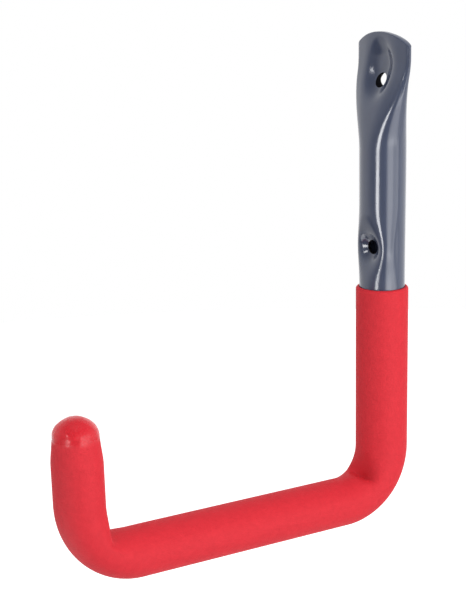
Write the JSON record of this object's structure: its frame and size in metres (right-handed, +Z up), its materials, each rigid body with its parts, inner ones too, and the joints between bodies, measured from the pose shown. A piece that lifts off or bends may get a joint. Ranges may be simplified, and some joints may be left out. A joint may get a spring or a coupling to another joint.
{
  "type": "garage utility hook",
  "caption": "Large J-shaped wall hook: a bent steel tube, pressed flat and drilled for screws at its upper end, with a soft closed-end sleeve over the arm and upturned tip.",
  "frame": {"origin": "midway between the two screw holes, on the axis of the wall leg", "axes": "+Z up the wall leg, -Y out from the wall along the arm, +X across the hook"},
  "size_m": [0.0312, 0.1717, 0.2072],
  "materials": {
    "tube_paint": "glossy blue-grey powder coat over steel",
    "sleeve_vinyl": "soft matte red vinyl with a fine grain, shinier on the formed end"
  },
  "bodies": {
    "root": {"hook_tube": "tube_paint", "grip_sleeve": "sleeve_vinyl"}
  },
  "joints": []
}
